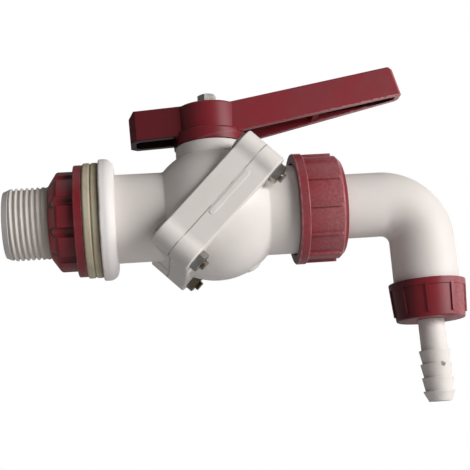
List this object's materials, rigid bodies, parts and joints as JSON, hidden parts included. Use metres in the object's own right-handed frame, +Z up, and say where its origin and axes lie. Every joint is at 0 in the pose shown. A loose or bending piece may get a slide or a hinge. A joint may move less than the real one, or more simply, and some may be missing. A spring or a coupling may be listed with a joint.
{
  "type": "vat drain tap",
  "caption": "Moulded ball tap that clamps in a tank wall: threaded inlet, lock nut and gaskets, bolted round body, quarter-turn lever, union elbow and barbed hose tail.",
  "frame": {"origin": "on the pipe's axis, in the plane of the tank collar's sealing face", "axes": "+X with the flow, from the tank to the elbow; +Z up along the valve stem; the hose tail points down -Z"},
  "size_m": [0.2111, 0.0676, 0.1619],
  "materials": {
    "white_plastic": "warm white moulded polypropylene, satin",
    "crimson_plastic": "dark red moulded polypropylene, satin",
    "gasket_rubber": "beige moulded rubber, dull",
    "seal_rubber": "black rubber, dull",
    "ball_plastic": "polished white plastic",
    "seat_plastic": "white low-friction plastic",
    "zinc_steel": "zinc-plated steel"
  },
  "bodies": {
    "valve_body": {"inlet_body": "white_plastic", "outlet_body": "white_plastic", "body_seal_ring": "seal_rubber", "seat_ring_inlet": "seat_plastic", "seat_ring_outlet": "seat_plastic", "seat_backing_inlet": "seal_rubber", "seat_backing_outlet": "seal_rubber", "stem_thrust_washer": "seat_plastic", "flange_bolts": "zinc_steel", "flange_nuts": "zinc_steel", "tank_gasket_outer": "gasket_rubber", "tank_gasket_inner": "gasket_rubber", "union_gasket": "seal_rubber"},
    "lever_and_ball": {"lever_handle": "crimson_plastic", "lever_washer": "zinc_steel", "lever_screw": "zinc_steel", "stem": "ball_plastic", "stem_o_ring_lower": "seal_rubber", "stem_o_ring_upper": "seal_rubber", "ball": "ball_plastic"},
    "lock_nut": {"tank_lock_nut": "crimson_plastic"},
    "union_ring": {"union_nut": "crimson_plastic"},
    "elbow_body": {"elbow": "white_plastic", "tail_gasket": "seal_rubber"},
    "tail_ring": {"tail_nut": "crimson_plastic"},
    "tail": {"hose_tail": "white_plastic"}
  },
  "joints": [
    {"name": "lever_turn", "type": "hinge", "parent": "valve_body", "child": "lever_and_ball", "pos_m": [0.0531, 0, 0], "axis": [0, 0, 1], "range_deg": [-90, 0]},
    {"name": "lock_nut_turn", "type": "hinge", "parent": "valve_body", "child": "lock_nut", "pos_m": [-0.012, 0, 0], "axis": [1, 0, 0], "continuous": true},
    {"name": "union_nut_turn", "type": "hinge", "parent": "valve_body", "child": "union_ring", "pos_m": [0.1, 0, 0], "axis": [1, 0, 0], "continuous": true},
    {"name": "elbow_swivel", "type": "hinge", "parent": "valve_body", "child": "elbow_body", "pos_m": [0.106, 0, 0], "axis": [1, 0, 0], "range_deg": [-150, 150]},
    {"name": "tail_nut_turn", "type": "hinge", "parent": "elbow_body", "child": "tail_ring", "pos_m": [0.1502, 0, -0.047], "axis": [0, 0, 1], "continuous": true},
    {"name": "hose_tail_swivel", "type": "hinge", "parent": "elbow_body", "child": "tail", "pos_m": [0.1502, 0, -0.053], "axis": [0, 0, 1], "continuous": true}
  ]
}
